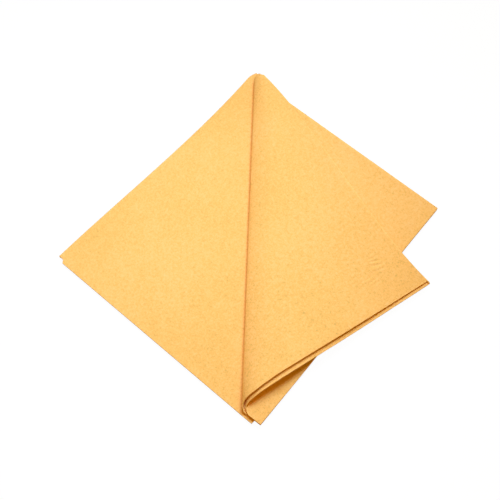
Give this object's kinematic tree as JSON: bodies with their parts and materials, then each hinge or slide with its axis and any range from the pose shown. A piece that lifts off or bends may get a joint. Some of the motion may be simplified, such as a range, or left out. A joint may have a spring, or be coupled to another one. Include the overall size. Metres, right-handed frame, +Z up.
{
  "type": "folded cleaning cloth",
  "caption": "Soft felt cleaning cloth, folded to a quarter with one pair of layers turned back over a slanting crease; it opens at the half fold and at the turned back crease.",
  "frame": {"origin": "middle of the underside, on the surface that the folded cloth lies on", "axes": "+Z up from that surface; +X along the closed side fold towards the closed corner, square to the half fold; +Y from the cut edges towards the closed side fold"},
  "size_m": [0.3093, 0.3101, 0.0204],
  "materials": {
    "felt": "matte warm yellow needled nonwoven felt with a fine mottle of fibres"
  },
  "bodies": {
    "base": {"base_lower_layer": "felt", "base_upper_layer": "felt", "base_side_fold": "felt", "half_fold_inner_bend": "felt", "half_fold_outer_bend": "felt"},
    "leaf": {"leaf_lower_layer": "felt", "leaf_upper_layer": "felt", "turn_back_inner_bend": "felt", "turn_back_outer_bend": "felt"},
    "flap": {"flap_lower_layer": "felt", "flap_upper_layer": "felt", "flap_side_fold": "felt"}
  },
  "joints": [
    {"name": "half_fold_hinge", "type": "hinge", "parent": "base", "child": "leaf", "pos_m": [0.1482, 0, 0.0038], "axis": [0, 1, 0], "range_deg": [0, 165], "deforming": ["half_fold_inner_bend", "half_fold_outer_bend"]},
    {"name": "flap_turn_hinge", "type": "hinge", "parent": "leaf", "child": "flap", "pos_m": [0.00016, 0.00509, 0.01035], "axis": [-0.7894, -0.6138, 0.0103], "range_deg": [0, 175], "deforming": ["turn_back_inner_bend", "turn_back_outer_bend"]}
  ]
}
